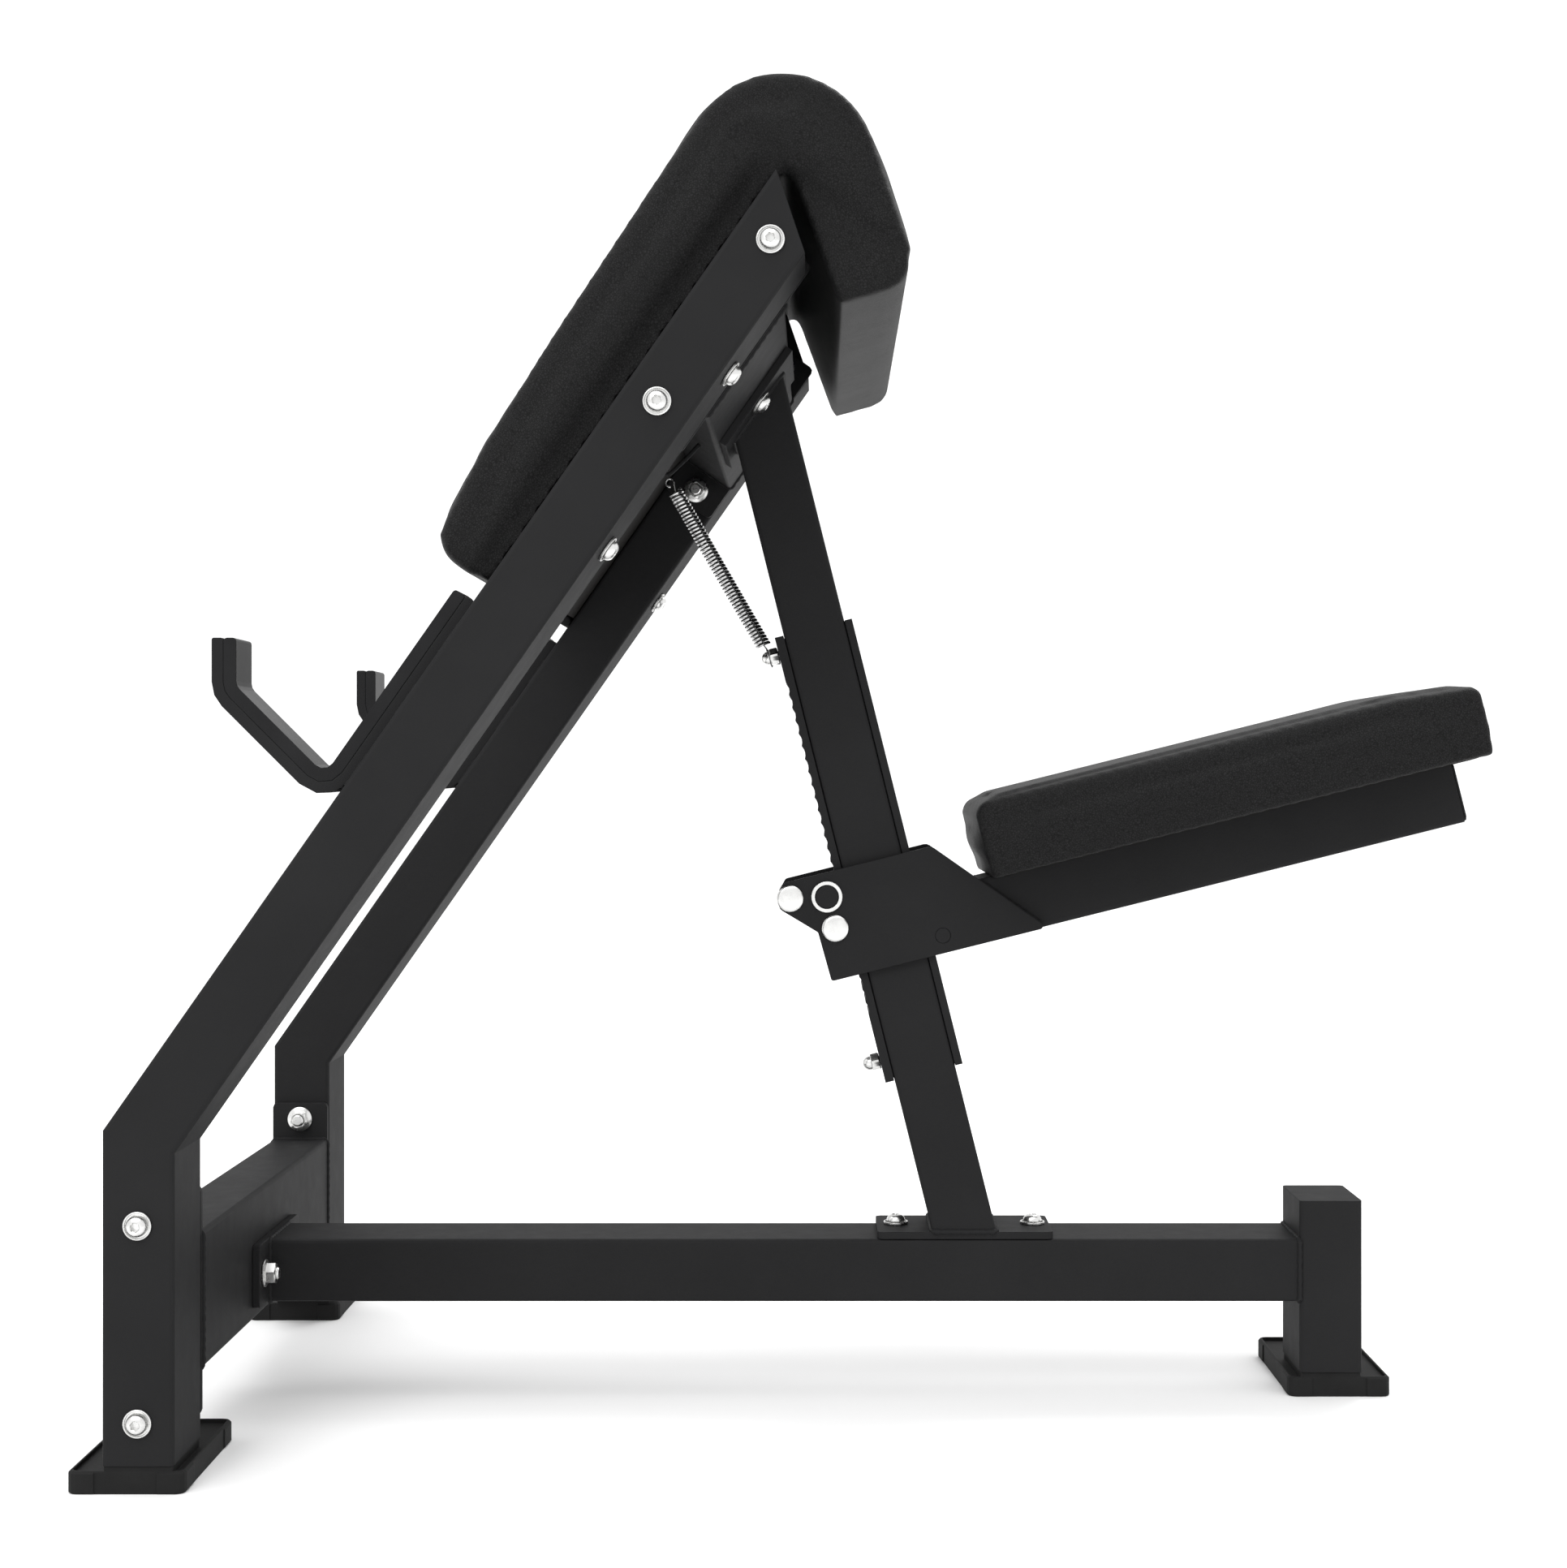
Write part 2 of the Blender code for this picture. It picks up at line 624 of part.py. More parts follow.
def carriage(pivot):
    """Everything that lifts with the seat."""
    outline = [(71.2, 407.5, 3), (192.9, 407.5, 6), (263.7, 326, 2), (263.7, 322, 2),
               (89.2, 322, 2), (88.1, 362.6, 2), (63, 387.7, 5), (62.9, 398.3, 4)]
    flat = fillet(outline, 45.0)
    for name, side in (("carriage_plate_near", -1), ("carriage_plate_far", 1)):
        ends = sorted((side * PLATE_IN, side * (PLATE_IN + PLATE_THICK)))
        holes = []
        for spot, radius in ((LOCK, 9.3), (PIN_UPPER, PIN_RADIUS + 0.3),
                             (PIN_LOWER, PIN_RADIUS + 0.3), (ROLLER, PIN_RADIUS + 0.3)):
            x, z = on_mast(*spot)
            holes.append(rod((x, ends[0] - 3, z), (x, ends[1] + 3, z), radius, 18))
        body(name, [slab(flat, ends[0], ends[1], on_mast)], BLACK, cut=[holes], pivot=pivot)

    outside = PLATE_IN + PLATE_THICK
    x, z = on_mast(*LOCK)
    bar = [(0, -outside - 3.4), (9.0, -outside - 3.4), (9.0, -outside + 1.5), (9.0, -37.5),
           (LOCK_RADIUS, -37.5), (LOCK_RADIUS, 37.5), (9.0, 37.5), (9.0, outside + 3.4),
           (0, outside + 3.4)]
    body("lock_bar", [turned(bar, at(x, 0, z), (0, 1, 0), 20)], BLACK, pivot=pivot)
    for name, spot in (("pin_upper", PIN_UPPER), ("pin_lower", PIN_LOWER)):
        x, z = on_mast(*spot)
        body(name, [pin_shell(x, z, 10.6, 3.2)], ZINC, pivot=pivot)

    s0, s1, m0, m1 = SEAT_TUBE
    half = TUBE_WIDE / 2
    wall = TUBE_WALL

    def along_seat(s, pairs):
        ring = []
        for y, m in pairs:
            px, pz = on_mast(s, m)
            ring.append(at(px, y, pz))
        return ring

    outer = section(-half, half, m0, m1, TUBE_CORNER)
    inner = section(wall - half, half - wall, m0 + wall, m1 - wall)
    tube = loft([along_seat(s0, outer), along_seat(s1, outer)])
    void = loft([along_seat(s0 - 1, inner), along_seat(s1 - wall, inner)])
    body("seat_tube", [tube], BLACK, cut=[[void]], pivot=pivot)

    p0, p1, low, high = SEAT_PAD
    board_flat = section(p0 + 9, p1 - 9, -SEAT_HALF + 9, SEAT_HALF - 9, 10, 3)
    pocket_flat = section(p0 + 8.7, p1 - 8.7, -SEAT_HALF + 8.7, SEAT_HALF - 8.7, 10.3, 3)

    def level(pairs, m):
        ring = []
        for s, y in pairs:
            px, pz = on_mast(s, m)
            ring.append(at(px, y, pz))
        return ring

    board = loft([level(board_flat, low), level(board_flat, low + BOARD)])
    body("seat_board", [board], WOOD, pivot=pivot)
    profile = fillet([(p0, low, 0), (p1, low, 0), (p1, high - 5.5, 7),
                      (p1 - 65, high, 60), (p0, high, 10)], 18.0)
    pocket = loft([level(pocket_flat, low - 3), level(pocket_flat, low + BOARD + GAP)])
    body("seat_pad", [cushion(profile, SEAT_HALF, 6.0, on_mast)], VINYL, cut=[[pocket]],
         sharp=60.0, pivot=pivot)


def pin_shell(x, z, head, thick):
    """Headed pin across both carriage plates."""
    face = PLATE_IN + PLATE_THICK + GAP
    profile = [(0, -face - thick), (head - 1.4, -face - thick), (head, -face - thick + 1.2),
               (head, -face), (PIN_RADIUS, -face), (PIN_RADIUS, face), (head, face),
               (head, face + thick - 1.2), (head - 1.4, face + thick), (0, face + thick)]
    return turned(profile, at(x, 0, z), (0, 1, 0), 18)


def slider(pivot):
    """Roller behind the mast and the axle it turns on."""
    x, z = on_mast(*ROLLER)
    bore = PIN_RADIUS + 0.3
    half = 37.3
    sleeve = [(bore, -half), (ROLLER_RADIUS - 0.5, -half), (ROLLER_RADIUS, -half + 0.5),
              (ROLLER_RADIUS, half - 0.5), (ROLLER_RADIUS - 0.5, half), (bore, half)]
    body("roller", [turned(sleeve, at(x, 0, z), (0, 1, 0), 20, ring=True)], PLASTIC,
         pivot=pivot)
    end = PLATE_IN + PLATE_THICK
    axle = [(0, -end), (PIN_RADIUS, -end), (PIN_RADIUS, end), (0, end)]
    body("roller_axle", [turned(axle, at(x, 0, z), (0, 1, 0), 18)], BLACK, pivot=pivot)


def arm_rest():
    """Rolled-over arm pad and the board screwed beneath it."""
    front = []
    for along, up, radius in ((ARM_LOW, GAP, 4), (ARM_LOW, 48.5, 18), (545, 59, 120),
                              (640, 63.5, 200), (760, 66.6, 0)):
        x, z = on_incline(along, up)
        front.append((x, z, radius))
    outline = fillet([(*on_incline(780, GAP), 0)] + front + [(*on_incline(800, 66.9), 0)])
    start = math.atan2(N[1], N[0])
    end = math.atan2(-DROP[0] * -1, -DROP[1])
    for k in range(0, 11):
        angle = start + (end - start) * k / 10
        outline.append((ROLL[0] + ROLL_RADIUS * math.cos(angle),
                        ROLL[1] + ROLL_RADIUS * math.sin(angle)))
    outer = (ROLL[0] + ROLL_RADIUS * -DROP[1] + DROP_LONG * DROP[0],
             ROLL[1] + ROLL_RADIUS * DROP[0] + DROP_LONG * DROP[1])
    inner = (12.5, 831.5)
    above = (outer[0] - 60 * DROP[0], outer[1] - 60 * DROP[1])
    tail = fillet([(*above, 0), (*outer, 20), (*inner, 4), (-24.5, 932.0, 0)])
    outline += tail
    outline.append(on_incline(822.0, GAP))
    board = [on_incline(along, up) for along, up in
             ((ARM_LOW + 11, GAP), (800, GAP), (800, GAP + BOARD), (ARM_LOW + 11, GAP + BOARD))]
    pocket = [on_incline(along, up) for along, up in
              ((ARM_LOW + 10.7, -4), (800.3, -4), (800.3, 2 * GAP + BOARD),
               (ARM_LOW + 10.7, 2 * GAP + BOARD))]
    holes = []
    for side in (-1, 1):
        for along in PAD_BOLTS:
            x0, z0 = on_incline(along, -6)
            x1, z1 = on_incline(along, 20)
            holes.append(rod((x0, side * FRAME_MID, z0), (x1, side * FRAME_MID, z1), HOLE))
    body("arm_board", [slab(board, -ARM_BOARD_HALF, ARM_BOARD_HALF)], WOOD, cut=[holes])
    reach = ARM_BOARD_HALF + GAP
    body("arm_pad", [cushion(outline, ARM_HALF, 2.4)], VINYL,
         cut=[[slab(pocket, -reach, reach)]], sharp=50.0)


def bar_hook(tag, side):
    """Steel strap bent to a J, with a plastic liner in its mouth."""
    path = [(x + GAP * N[0], z + GAP * N[1]) for x, z in HOOK_PATH]
    middle = side * FRAME_MID
    half = HOOK_WIDE / 2

    def band(low, high, radii, ends):
        near = beside(path, low)
        far = beside(path, high)
        outline = [(*near[0], ends), (*near[1], radii[0]), (*near[2], radii[0]),
                   (*near[3], ends), (*far[3], ends), (*far[2], radii[1]),
                   (*far[1], radii[1]), (*far[0], ends)]
        return fillet(outline, 30.0)

    strap = slab(band(0, STRAP, (24, 16), 1.5), middle - half, middle + half)
    liner = slab(band(STRAP + GAP, STRAP + GAP + LINER, (15.7, 8.0), 2.5),
                 middle - half, middle + half)
    body("hook_strap_" + tag, [strap], BLACK)
    body("hook_liner_" + tag, [liner], PLASTIC)


def spring():
    """Return spring as a plain bar, and the rod it hangs from."""
    start = Vector(SPRING_TOP)
    run = Vector(SPRING_END) - start
    length = run.length
    run.normalize()
    profile = [(0, 5), (1.4, 5), (1.4, 11), (SPRING_RADIUS, 12), (SPRING_RADIUS, length - 10),
               (0, length - 10)]
    body("spring", [turned(profile, at(start.x, 0, start.y), (run.x, 0, run.y), 14)], CHROME)
    ends = []
    for along, up in ((-BEAM_TALL / 2 - 0.8, -5.0), (-84.0, 0.6)):
        ends.append((UPPER_BEAM[0] + along * T[0] + up * N[0], 0,
                     UPPER_BEAM[1] + along * T[1] + up * N[1]))
    body("spring_anchor", [rod(ends[0], ends[1], 1.8, 12)], BLACK)


def dome_bolt(name, point, axis, grip):
    """Dome-head bolt with its washer, head on the side the axis comes from."""
    profile = [(0, -HEAD_TALL), (4.2, -7.3), (7.0, -5.4), (HEAD, -2.3), (WASHER, -2.3),
               (WASHER, -GAP), (BOLT, -GAP), (BOLT, grip), (0, grip)]
    body(name, [turned(profile, at(*point), axis)], ZINC)


def flange_nut(name, point, axis):
    """Hexagon flange nut facing along the axis."""
    bore = BOLT + 0.3
    profile = [(bore, GAP), (NUT_FLANGE, GAP), (NUT_FLANGE, 1.8), (NUT_FLAT, 3.4),
               (NUT_FLAT, NUT_TALL), (bore, NUT_TALL)]
    body(name, [turned(profile, at(*point), axis, 12, ring=True, flats=(3, 4))], ZINC)


def hardware():
    """Bolts and nuts of the frame."""
    seat = FRAME_IN - GAP - FLANGE_THICK
    for tag, side in (("near", -1), ("far", 1)):
        for k, (x, z) in enumerate(frame_bolts(), 1):
            grip = FRAME_OUT - seat + NUT_TALL + 2
            dome_bolt(f"frame_bolt_{tag}_{k}", (x, side * FRAME_OUT, z), (0, -side, 0), grip)
            flange_nut(f"frame_nut_{tag}_{k}", (x, side * seat, z), (0, -side, 0))
        y = side * MAIN_BOLT_Y
        front = LOWER_BEAM[0] - BEAM_DEEP / 2
        dome_bolt(f"beam_bolt_{tag}", (front, y, MAIN_BOLT_Z), (1, 0, 0),
                  MAIN_FRONT - front + NUT_TALL + 2)
        flange_nut(f"beam_nut_{tag}", (MAIN_FRONT, y, MAIN_BOLT_Z), (1, 0, 0))
        x = UPPER_BEAM[0] - TOP_DROP * N[0]
        z = UPPER_BEAM[1] - TOP_DROP * N[1]
        dome_bolt(f"top_bolt_{tag}", (x, side * TOP_BOLT_Y, z), (N[0], 0, N[1]), 22)
        for k, along in enumerate(PAD_BOLTS, 1):
            x, z = on_incline(along, -TUBE_DEEP)
            dome_bolt(f"pad_bolt_{tag}_{k}", (x, side * FRAME_MID, z), (N[0], 0, N[1]),
                      TUBE_DEEP + 9)
    for k, x in enumerate(BASE_BOLTS, 1):
        dome_bolt(f"base_bolt_{k}", (x, 0, BASE_TOP), (0, 0, -1), 22)


side_frame("side_frame_near", -1)
side_frame("side_frame_far", 1)
cross_beam("cross_beam_lower", LOWER_BEAM, (0, 1), (1, 0), MAIN_BOLT_Z - LOWER_BEAM[1], False)
cross_beam("cross_beam_upper", UPPER_BEAM, T, N, 0.0, True)
main_beam()
rear_post()
tube_near = (-FRAME_OUT + TUBE_WALL + GAP, -FRAME_IN - TUBE_WALL - GAP)
leg_void = (LEG_X + TUBE_WALL + GAP, LEG_X + TUBE_DEEP - TUBE_WALL - GAP)
post_void = (POST_FRONT + TUBE_WALL + GAP, POST_FRONT + TUBE_DEEP - TUBE_WALL - GAP)
foot("foot_front_near", FRONT_FOOT_X, -FRAME_OUT + FOOT_LONG / 2, leg_void, tube_near)
foot("foot_front_far", FRONT_FOOT_X, FOOT_REACH - FOOT_LONG / 2, leg_void,
     (FOOT_REACH - FOOT_LONG + 3, FRAME_OUT - TUBE_WALL - GAP))
foot("foot_rear", REAR_FOOT_X, REAR_FOOT_Y, post_void,
     (-TUBE_WIDE / 2 + TUBE_WALL + GAP, TUBE_WIDE / 2 - TUBE_WALL - GAP))
mast()
toothed_rack()
rear_strip()
rack_bolt("rack_bolt_lower", STRIP_BOLTS[0])
rack_bolt("rack_bolt_upper", STRIP_BOLTS[1])
hinge_x, hinge_z = on_mast(*ROLLER)
hinge = at(hinge_x, 0, hinge_z)
carriage(hinge)
slider(hinge)
arm_rest()
bar_hook("near", -1)
bar_hook("far", 1)
spring()
hardware()
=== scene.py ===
"""Looks of the preacher bench: finishes, upholstery, coil spring, fasteners, welds, stage.

Positions are the bench's own millimetres, measured as in its CAD: X from the
camera axis, Y from the frame's mid-plane, Z from the floor.
"""

import json
import math

import bmesh
import bpy
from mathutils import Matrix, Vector, noise


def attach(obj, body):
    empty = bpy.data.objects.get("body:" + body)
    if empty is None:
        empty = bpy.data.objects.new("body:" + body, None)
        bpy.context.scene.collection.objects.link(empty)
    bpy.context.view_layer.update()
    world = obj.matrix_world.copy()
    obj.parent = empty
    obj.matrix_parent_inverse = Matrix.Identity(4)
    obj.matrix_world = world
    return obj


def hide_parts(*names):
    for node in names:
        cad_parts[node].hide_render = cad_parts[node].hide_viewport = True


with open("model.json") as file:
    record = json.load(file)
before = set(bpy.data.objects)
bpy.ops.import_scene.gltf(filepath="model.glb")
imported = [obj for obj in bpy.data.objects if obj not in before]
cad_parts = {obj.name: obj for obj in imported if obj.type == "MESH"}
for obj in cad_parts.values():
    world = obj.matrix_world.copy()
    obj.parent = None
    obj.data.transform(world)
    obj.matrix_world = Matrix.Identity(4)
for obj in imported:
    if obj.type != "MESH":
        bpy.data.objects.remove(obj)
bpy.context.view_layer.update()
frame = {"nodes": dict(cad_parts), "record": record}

MM = 0.001
CENTRE_X = 0.75
MIDDLE_Y = -33.1
BEND = (-498.6, 252.0)
INCLINE = math.radians(55.0)
LEAN = math.radians(14.0)
T = (math.cos(INCLINE), math.sin(INCLINE))
N = (-math.sin(INCLINE), math.cos(INCLINE))
S = (math.cos(LEAN), math.sin(LEAN))
M = (-math.sin(LEAN), math.cos(LEAN))
FRAME_MID = 264.5
UPPER_BEAM = (-74.2, 814.0)
LOCK = (101.9, 388.5)

# joints between the mast and its two strips: span along the mast, half their width
STRIP_SPAN = (234.0, 598.0)
JOINT_HALF = 34.0

# pins through the carriage plates
PIN_HEAD = 10.6
PIN_HEAD_TALL = 3.2
RING_FACE = 44.0

# coil spring between the rod's end and the upper stud
SPRING_TOP = (-125.6, 741.6)
SPRING_END = (-41.3, 595.4)
SPRING_RADIUS = 6.5
COIL_WIRE = 1.42
COIL_PITCH = 3.0
HOOK_WIRE = 0.7
HOOK_RADIUS = 3.4
STUD_LOOP = 7.6
UPPER_STUD = (110.0, 587.0)
ROD_RADIUS = 1.75

# cushions: how far the cloth may swell them
SWELL_CAP = 3.5


def at(x, y, z):
    """Bench millimetres to a point in the row frame."""
    return Vector(((x - CENTRE_X) * MM, (y + MIDDLE_Y) * MM, z * MM))


def on_incline(along, up):
    """X and Z of a point along the incline and square to it."""
    return (BEND[0] + along * T[0] + up * N[0], BEND[1] + along * T[1] + up * N[1])


def on_mast(s, m):
    """X and Z of a point square to the mast and along it."""
    return (s * S[0] + m * M[0], s * S[1] + m * M[1])


# ---------------------------------------------------------------- finishes

def shader_of(name):
    """New material with its tree and Principled shader."""
    material = bpy.data.materials.new(name)
    material.use_nodes = True
    tree = material.node_tree
    return material, tree, tree.nodes["Principled BSDF"]


def add(tree, kind, **values):
    """Node of a kind; values name properties or input sockets."""
    node = tree.nodes.new(kind)
    for key, value in values.items():
        if hasattr(node, key):
            setattr(node, key, value)
        else:
            node.inputs[key.replace("_", " ")].default_value = value
    return node


def ramp(tree, source, low, high, first, last):
    """Greys or colours between two positions of a factor."""
    node = tree.nodes.new("ShaderNodeValToRGB")
    node.color_ramp.elements[0].position = low
    node.color_ramp.elements[1].position = high
    node.color_ramp.elements[0].color = (*first, 1.0)
    node.color_ramp.elements[1].color = (*last, 1.0)
    tree.links.new(source, node.inputs["Fac"])
    return node.outputs["Color"]


def span(tree, source, low, high):
    """Factor mapped onto a range of numbers."""
    node = tree.nodes.new("ShaderNodeMapRange")
    node.inputs["To Min"].default_value = low
    node.inputs["To Max"].default_value = high
    tree.links.new(source, node.inputs["Value"])
    return node.outputs["Result"]


def speckle(tree, scale, detail=2.0, roughness=0.5):
    """Noise in object space, so that it stays with a moving piece."""
    place = tree.nodes.new("ShaderNodeTexCoord")
    node = add(tree, "ShaderNodeTexNoise", Scale=scale, Detail=detail, Roughness=roughness)
    tree.links.new(place.outputs["Object"], node.inputs["Vector"])
    return node.outputs["Fac"]


def bump(tree, height, strength, distance, under=None):
    """Bump from a height, over another normal if one is given."""
    node = add(tree, "ShaderNodeBump", Strength=strength, Distance=distance)
    tree.links.new(height, node.inputs["Height"])
    if under is not None:
        tree.links.new(under, node.inputs["Normal"])
    return node.outputs["Normal"]


def edge_mask(tree, radius):
    """Normal softened over an edge, and how near that edge is."""
    soft = tree.nodes.new("ShaderNodeBevel")
    soft.samples = 4
    soft.inputs["Radius"].default_value = radius
    plain = tree.nodes.new("ShaderNodeNewGeometry")
    dot = tree.nodes.new("ShaderNodeVectorMath")
    dot.operation = "DOT_PRODUCT"
    tree.links.new(soft.outputs["Normal"], dot.inputs[0])
    tree.links.new(plain.outputs["Normal"], dot.inputs[1])
    invert = tree.nodes.new("ShaderNodeMath")
    invert.operation = "SUBTRACT"
    invert.inputs[0].default_value = 1.0
    tree.links.new(dot.outputs["Value"], invert.inputs[1])
    return soft.outputs["Normal"], invert.outputs["Value"]


def powder_coat():
    """Matte black coat: fine orange peel, polished a little on its edges."""
    material, tree, shader = shader_of("powder_coat")
    link = tree.links.new
    normal, edge = edge_mask(tree, 0.0014)
    cloud = speckle(tree, 7.0, 4.0, 0.6)
    base = ramp(tree, cloud, 0.3, 0.7, (0.0145, 0.0145, 0.015), (0.0175, 0.0175, 0.018))
    worn = ramp(tree, edge, 0.04, 0.3, (0, 0, 0), (1, 1, 1))
    patch = speckle(tree, 55.0, 3.0, 0.65)
    amount = tree.nodes.new("ShaderNodeMath")
    amount.operation = "MULTIPLY"
    link(worn, amount.inputs[0])
    link(ramp(tree, patch, 0.42, 0.66, (0.05, 0.05, 0.05), (0.6, 0.6, 0.6)), amount.inputs[1])
    mix = tree.nodes.new("ShaderNodeMix")
    mix.data_type = "RGBA"
    link(amount.outputs["Value"], mix.inputs["Factor"])
    link(base, mix.inputs["A"])
    mix.inputs["B"].default_value = (0.045, 0.045, 0.046, 1)
    link(mix.outputs["Result"], shader.inputs["Base Color"])
    link(span(tree, patch, 0.54, 0.66), shader.inputs["Roughness"])
    shader.inputs["Specular IOR Level"].default_value = 0.05
    grain = bump(tree, speckle(tree, 850.0, 2.0, 0.55), 0.32, 0.0004, normal)
    link(grain, shader.inputs["Normal"])
    return material


def grained_vinyl():
    """Black upholstery vinyl with a small pebble grain and soft creases; shade is painted into
    the hollows between the pebbles.
    """
    material, tree, shader = shader_of("grained_vinyl")
    link = tree.links.new
    place = tree.nodes.new("ShaderNodeTexCoord")
    warp = add(tree, "ShaderNodeTexNoise", Scale=120.0, Detail=2.0)
    link(place.outputs["Object"], warp.inputs["Vector"])
    stretch = tree.nodes.new("ShaderNodeMix")
    stretch.data_type = "VECTOR"
    stretch.inputs["Factor"].default_value = 0.006
    link(place.outputs["Object"], stretch.inputs["A"])
    link(warp.outputs["Color"], stretch.inputs["B"])
    cells = add(tree, "ShaderNodeTexVoronoi", feature="DISTANCE_TO_EDGE", Scale=620.0)
    link(stretch.outputs["Result"], cells.inputs["Vector"])
    pebble = ramp(tree, cells.outputs["Distance"], 0.0, 0.24, (0, 0, 0), (1, 1, 1))
    cloud = speckle(tree, 11.0, 4.0, 0.6)
    base = ramp(tree, cloud, 0.3, 0.7, (0.0125, 0.0125, 0.0128), (0.0155, 0.0155, 0.0158))
    # painted shade: the hollows between the pebbles are darkened almost to black
    mix = tree.nodes.new("ShaderNodeMix")
    mix.data_type = "RGBA"
    link(pebble, mix.inputs["Factor"])
    mix.inputs["A"].default_value = (0.004, 0.004, 0.004, 1)
    link(base, mix.inputs["B"])
    link(mix.outputs["Result"], shader.inputs["Base Color"])
    link(span(tree, cloud, 0.46, 0.58), shader.inputs["Roughness"])
    shader.inputs["Specular IOR Level"].default_value = 0.08
    crease = bump(tree, speckle(tree, 26.0, 3.0, 0.5), 0.16, 0.004)
    link(bump(tree, pebble, 0.4, 0.0003, crease), shader.inputs["Normal"])
    return material


def plated(name, colour, low, high, streak):
    """Bright plate with a cloudy sheen and fine turning marks."""
    material, tree, shader = shader_of(name)
    link = tree.links.new
    normal, _ = edge_mask(tree, 0.0004)
    cloud = speckle(tree, 160.0, 3.0, 0.6)
    dark = tuple(0.86 * c for c in colour)
    link(ramp(tree, cloud, 0.3, 0.75, dark, colour), shader.inputs["Base Color"])
    shader.inputs["Metallic"].default_value = 1.0
    link(span(tree, cloud, low, high), shader.inputs["Roughness"])
    link(bump(tree, speckle(tree, 1500.0, 2.0), streak, 0.0001, normal), shader.inputs["Normal"])
    return material


def moulded(name, colour, low, high, scale, strength):
    """Rubber or plastic with a spark-eroded grain."""
    material, tree, shader = shader_of(name)
    link = tree.links.new
    normal, edge = edge_mask(tree, 0.001)
    cloud = speckle(tree, 24.0, 4.0, 0.6)
    lighter = tuple(1.5 * c for c in colour)
    mix = tree.nodes.new("ShaderNodeMix")
    mix.data_type = "RGBA"
    link(ramp(tree, edge, 0.03, 0.4, (0, 0, 0), (0.5, 0.5, 0.5)), mix.inputs["Factor"])
    link(ramp(tree, cloud, 0.3, 0.7, colour, lighter), mix.inputs["A"])
    mix.inputs["B"].default_value = (*(3 * c for c in colour), 1)
    link(mix.outputs["Result"], shader.inputs["Base Color"])
    link(span(tree, cloud, low, high), shader.inputs["Roughness"])
    shader.inputs["Specular IOR Level"].default_value = 0.12
    link(bump(tree, speckle(tree, scale, 2.0), strength, 0.0003, normal), shader.inputs["Normal"])
    return material


def stained_ply(name, across):
    """Black-stained plywood: grain on the face, plies on the edge."""
    material, tree, shader = shader_of(name)
    link = tree.links.new
    place = tree.nodes.new("ShaderNodeTexCoord")
    level = tree.nodes.new("ShaderNodeVectorMath")
    level.operation = "DOT_PRODUCT"
    level.inputs[1].default_value = across
    link(place.outputs["Object"], level.inputs[0])
    wave = tree.nodes.new("ShaderNodeMath")
    wave.operation = "MULTIPLY"
    wave.inputs[1].default_value = math.tau / 0.0029
    link(level.outputs["Value"], wave.inputs[0])
    bands = tree.nodes.new("ShaderNodeMath")
    bands.operation = "SINE"
    link(wave.outputs["Value"], bands.inputs[0])
    stretch = tree.nodes.new("ShaderNodeMapping")
    stretch.inputs["Scale"].default_value = (1.0, 0.08, 1.0)
    link(place.outputs["Object"], stretch.inputs["Vector"])
    grain = add(tree, "ShaderNodeTexNoise", Scale=160.0, Detail=5.0, Roughness=0.65)
    link(stretch.outputs["Vector"], grain.inputs["Vector"])
    plies = ramp(tree, bands.outputs["Value"], 0.2, 0.8, (0.010, 0.009, 0.008),
                 (0.020, 0.017, 0.014))
    mix = tree.nodes.new("ShaderNodeMix")
    mix.data_type = "RGBA"
    link(grain.outputs["Fac"], mix.inputs["Factor"])
    link(plies, mix.inputs["A"])
    mix.inputs["B"].default_value = (0.006, 0.0055, 0.005, 1)
    link(mix.outputs["Result"], shader.inputs["Base Color"])
    shader.inputs["Roughness"].default_value = 0.75
    shader.inputs["Specular IOR Level"].default_value = 0.3
    link(bump(tree, grain.outputs["Fac"], 0.35, 0.0006), shader.inputs["Normal"])
    return material


COAT = powder_coat()
VINYL = grained_vinyl()
ZINC = plated("bright_zinc", (0.74, 0.74, 0.73), 0.22, 0.34, 0.12)
CHROME = plated("spring_wire", (0.6, 0.6, 0.6), 0.16, 0.26, 0.05)
RUBBER = moulded("foot_rubber", (0.009, 0.009, 0.009), 0.62, 0.78, 420.0, 0.4)
PLASTIC = moulded("black_plastic", (0.008, 0.008, 0.0085), 0.34, 0.46, 900.0, 0.08)
SLOT_FINISH = {"frame_paint": COAT, "zinc_plate": ZINC, "spring_chrome": CHROME,
               "foot_rubber": RUBBER, "black_plastic": PLASTIC, "vinyl": VINYL}
PLY_ARM = stained_ply("ply_arm", (N[0], 0, N[1]))
PLY_SEAT = stained_ply("ply_seat", (M[0], 0, M[1]))


def paint_cad():
    """Give every CAD node the finish of its slot."""
    for part in frame["record"]["subparts"]:
        node = frame["nodes"][part["node"]]
        finish = SLOT_FINISH.get(part["material_slot"])
        if finish is None:
            finish = PLY_ARM if part["node"] == "arm_board" else PLY_SEAT
        node.data.materials.clear()
        node.data.materials.append(finish)


# ---------------------------------------------------------------- mesh code

def piece_of(name, points, faces, finish, slot, body, smooth=True):
    """Object from points and faces, riding on a body."""
    mesh = bpy.data.meshes.new(name)
    mesh.from_pydata([tuple(p) for p in points], [], faces)
    work = bmesh.new()
    work.from_mesh(mesh)
    bmesh.ops.recalc_face_normals(work, faces=work.faces[:])
    for face in work.faces:
        face.smooth = smooth
    for edge in work.edges:
        edge.smooth = edge.calc_face_angle(3.0) < math.radians(35)
    work.to_mesh(mesh)
    work.free()
    mesh.materials.append(finish)
    piece = bpy.data.objects.new(name, mesh)
    bpy.context.collection.objects.link(piece)
    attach(piece, body)
    return piece


